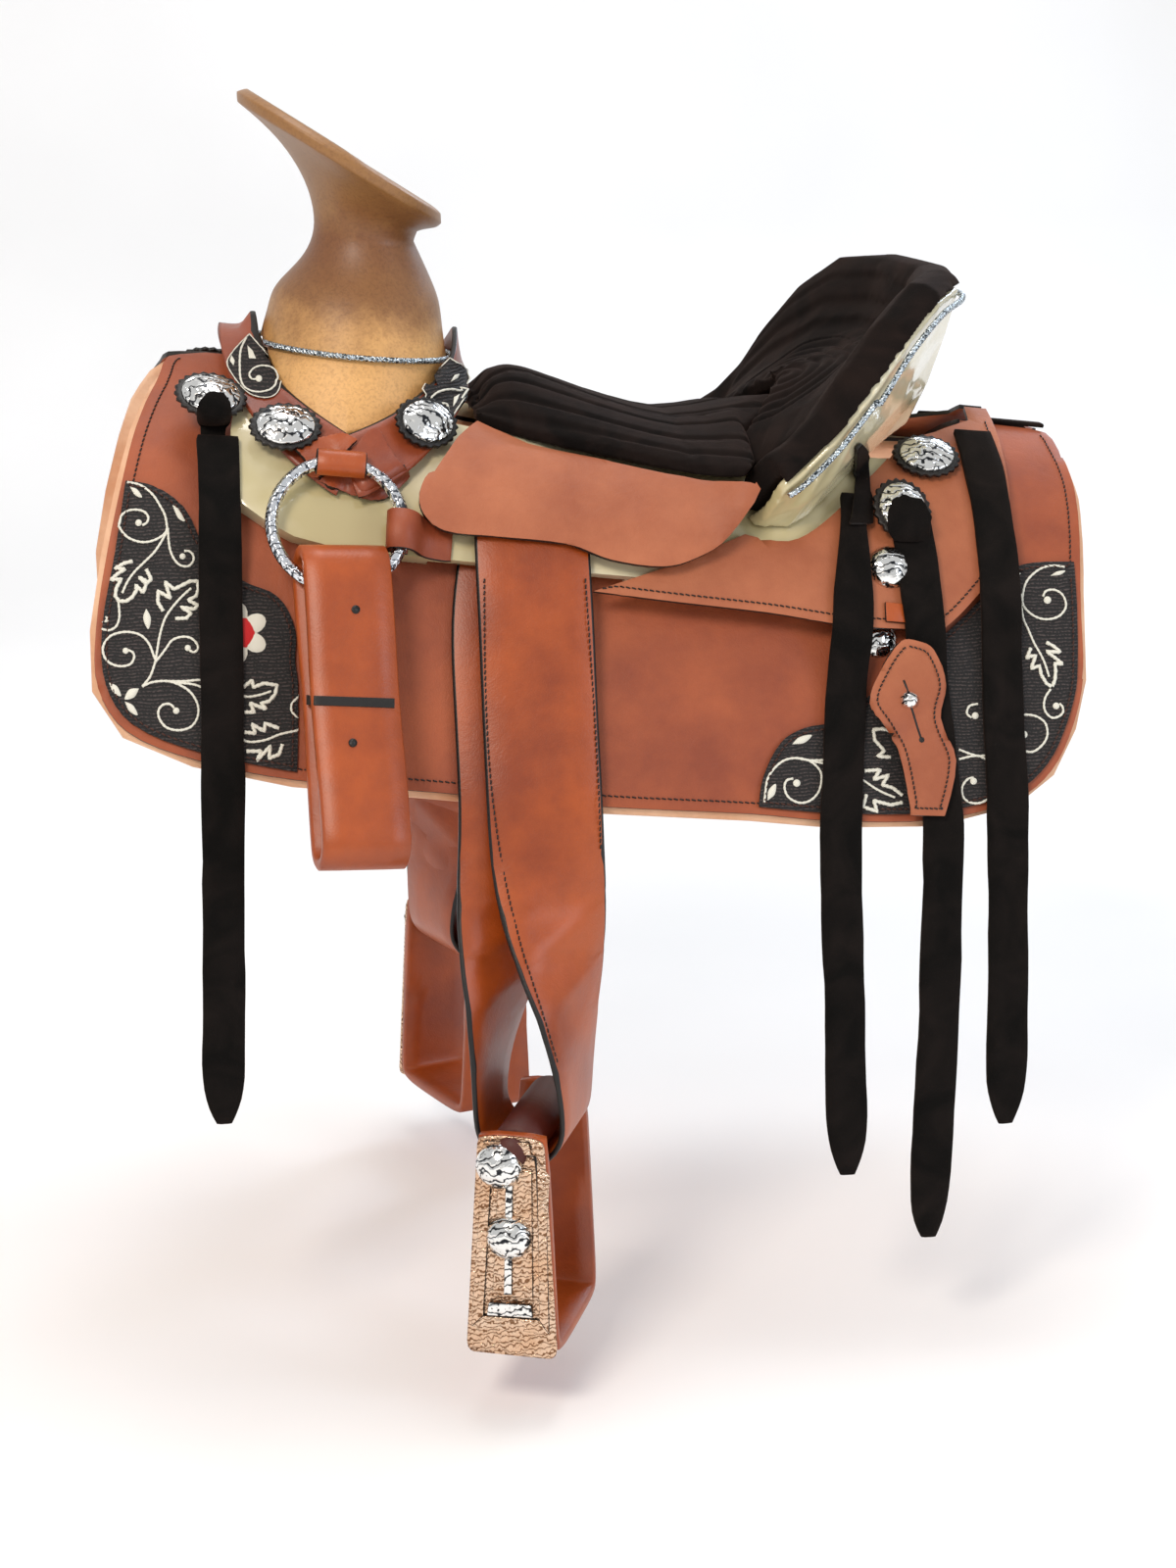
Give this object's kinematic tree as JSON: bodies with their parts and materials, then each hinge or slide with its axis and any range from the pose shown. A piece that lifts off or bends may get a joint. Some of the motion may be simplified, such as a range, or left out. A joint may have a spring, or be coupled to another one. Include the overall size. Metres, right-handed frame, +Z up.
{
  "type": "charro saddle",
  "caption": "Charro saddle with broad rawhide horn, quilted suede seat, dished cantle, embroidered skirts and covered stirrups.",
  "frame": {"origin": "middle of the saddle's underside on the ridge of the horse's back or of a rack", "axes": "+Z up, +X back towards the cantle, -Y to the near (mounting) side"},
  "size_m": [0.7145, 0.622, 0.8417],
  "materials": {
    "rawhide": "varnished amber rawhide, satin",
    "silver_cord": "twisted silvered cord",
    "lacquered_wood": "ivory lacquer over wood, glossy",
    "black_suede": "black-brown suede with cream stitching, matte",
    "saddle_leather": "tan tooled saddle leather, satin",
    "orange_leather": "orange-brown harness leather, satin",
    "rose_leather": "rose-tan leather, matte",
    "lining_leather": "pale felted lining leather, matte",
    "embroidered_suede": "black suede embroidered with cream thread",
    "engraved_silver": "engraved silvered metal",
    "concho_silver": "polished engraved silvered metal"
  },
  "bodies": {
    "saddle": {"horn_fork": "rawhide", "fork_cord": "silver_cord", "collar_front_strap": "saddle_leather", "collar_rear_strap": "saddle_leather", "cantle_shell": "lacquered_wood", "cantle_pad": "black_suede", "seat_pad": "black_suede", "cantle_cord": "silver_cord", "ridge_lacing": "black_suede", "skirt_lining_near": "lining_leather", "skirt_near": "saddle_leather", "front_patch_near": "embroidered_suede", "rear_patch_near": "embroidered_suede", "rear_jockey_near": "rose_leather", "tree_bar_near": "lacquered_wood", "rigging_ring_near": "engraved_silver", "collar_loop_near": "orange_leather", "rigging_strap_near": "saddle_leather", "concho_front_near": "concho_silver", "concho_rear_upper_near": "concho_silver", "concho_rear_middle_near": "concho_silver", "concho_collar_front_near": "concho_silver", "concho_collar_rear_near": "concho_silver", "skirt_lining_off": "lining_leather", "skirt_off": "saddle_leather", "front_patch_off": "embroidered_suede", "rear_patch_off": "embroidered_suede", "rear_jockey_off": "rose_leather", "tree_bar_off": "lacquered_wood", "rigging_ring_off": "engraved_silver", "collar_loop_off": "orange_leather", "rigging_strap_off": "saddle_leather", "concho_front_off": "concho_silver", "concho_rear_upper_off": "concho_silver", "concho_rear_middle_off": "concho_silver", "concho_collar_front_off": "concho_silver", "concho_collar_rear_off": "concho_silver"},
    "seat_flap_near": {"seat_flap_near": "rose_leather"},
    "leather_near": {"stirrup_leather_near": "orange_leather"},
    "stirrup_near": {"stirrup_frame_near": "orange_leather", "stirrup_face_near": "engraved_silver", "stirrup_bolt_near": "engraved_silver"},
    "latigo_near": {"latigo_near": "orange_leather"},
    "billet_near": {"billet_near": "rose_leather"},
    "tie_front_near": {"tie_front_near": "black_suede"},
    "tie_cantle_near": {"tie_cantle_near": "black_suede"},
    "tie_middle_near": {"tie_middle_near": "black_suede"},
    "tie_rear_near": {"tie_rear_near": "black_suede"},
    "seat_flap_off": {"seat_flap_off": "rose_leather"},
    "leather_off": {"stirrup_leather_off": "orange_leather"},
    "stirrup_off": {"stirrup_frame_off": "orange_leather", "stirrup_face_off": "engraved_silver", "stirrup_bolt_off": "engraved_silver"},
    "latigo_off": {"latigo_off": "orange_leather"},
    "billet_off": {"billet_off": "rose_leather"},
    "tie_front_off": {"tie_front_off": "black_suede"},
    "tie_cantle_off": {"tie_cantle_off": "black_suede"},
    "tie_middle_off": {"tie_middle_off": "black_suede"},
    "tie_rear_off": {"tie_rear_off": "black_suede"}
  },
  "joints": [
    {"name": "seat_flap_lift_near", "type": "hinge", "parent": "saddle", "child": "seat_flap_near", "pos_m": [0.0016, -0.114, -0.0232], "axis": [-0.912, 0.3738, 0.1687], "range_deg": [0, 35]},
    {"name": "leather_swing_near", "type": "hinge", "parent": "saddle", "child": "leather_near", "pos_m": [-0.05712, -0.12158, -0.03639], "axis": [0.0491, -0.8829, 0.4669], "range_deg": [-8, 1]},
    {"name": "stirrup_swing_near", "type": "hinge", "parent": "leather_near", "child": "stirrup_near", "pos_m": [-0.072, -0.24, -0.469], "axis": [-0.3584, -0.9336, 0], "range_deg": [-30, 30]},
    {"name": "latigo_swing_near", "type": "hinge", "parent": "saddle", "child": "latigo_near", "pos_m": [-0.19446, -0.16398, -0.06115], "axis": [0.0477, -0.8896, 0.4542], "range_deg": [-6, 1]},
    {"name": "billet_lift_near", "type": "hinge", "parent": "saddle", "child": "billet_near", "pos_m": [0.20151, -0.17976, -0.14921], "axis": [-0.9945, 0, 0.1045], "range_deg": [0, 50]},
    {"name": "tie_front_lift_near", "type": "hinge", "parent": "saddle", "child": "tie_front_near", "pos_m": [-0.27244, -0.12012, -0.00428], "axis": [-0.9945, 0, 0.1045], "range_deg": [0, 60]},
    {"name": "tie_cantle_lift_near", "type": "hinge", "parent": "saddle", "child": "tie_cantle_near", "pos_m": [0.17181, -0.12189, -0.05386], "axis": [-0.9945, 0, 0.1045], "range_deg": [0, 60]},
    {"name": "tie_middle_swing_near", "type": "hinge", "parent": "saddle", "child": "tie_middle_near", "pos_m": [0.2102, -0.12679, -0.06648], "axis": [0.0491, -0.8829, 0.4669], "range_deg": [-3, 2]},
    {"name": "tie_rear_lift_near", "type": "hinge", "parent": "saddle", "child": "tie_rear_near", "pos_m": [0.27599, -0.05383, -0.01934], "axis": [-0.9945, 0, 0.1045], "range_deg": [0, 60]},
    {"name": "seat_flap_lift_off", "type": "hinge", "parent": "saddle", "child": "seat_flap_off", "pos_m": [0.0016, 0.114, -0.0232], "axis": [0.912, 0.3738, -0.1687], "range_deg": [0, 35]},
    {"name": "leather_swing_off", "type": "hinge", "parent": "saddle", "child": "leather_off", "pos_m": [-0.05712, 0.12158, -0.03639], "axis": [-0.0491, -0.8829, -0.4669], "range_deg": [-8, 1]},
    {"name": "stirrup_swing_off", "type": "hinge", "parent": "leather_off", "child": "stirrup_off", "pos_m": [-0.072, 0.24, -0.469], "axis": [0.3584, -0.9336, 0], "range_deg": [-30, 30]},
    {"name": "latigo_swing_off", "type": "hinge", "parent": "saddle", "child": "latigo_off", "pos_m": [-0.19446, 0.16398, -0.06115], "axis": [-0.0477, -0.8896, -0.4542], "range_deg": [-6, 1]},
    {"name": "billet_lift_off", "type": "hinge", "parent": "saddle", "child": "billet_off", "pos_m": [0.20151, 0.17976, -0.14921], "axis": [0.9945, 0, -0.1045], "range_deg": [0, 50]},
    {"name": "tie_front_lift_off", "type": "hinge", "parent": "saddle", "child": "tie_front_off", "pos_m": [-0.27244, 0.12012, -0.00428], "axis": [0.9945, 0, -0.1045], "range_deg": [0, 60]},
    {"name": "tie_cantle_lift_off", "type": "hinge", "parent": "saddle", "child": "tie_cantle_off", "pos_m": [0.17181, 0.12189, -0.05386], "axis": [0.9945, 0, -0.1045], "range_deg": [0, 60]},
    {"name": "tie_middle_swing_off", "type": "hinge", "parent": "saddle", "child": "tie_middle_off", "pos_m": [0.2102, 0.12679, -0.06648], "axis": [-0.0491, -0.8829, -0.4669], "range_deg": [-3, 2]},
    {"name": "tie_rear_lift_off", "type": "hinge", "parent": "saddle", "child": "tie_rear_off", "pos_m": [0.27599, 0.05383, -0.01934], "axis": [0.9945, 0, -0.1045], "range_deg": [0, 60]}
  ]
}
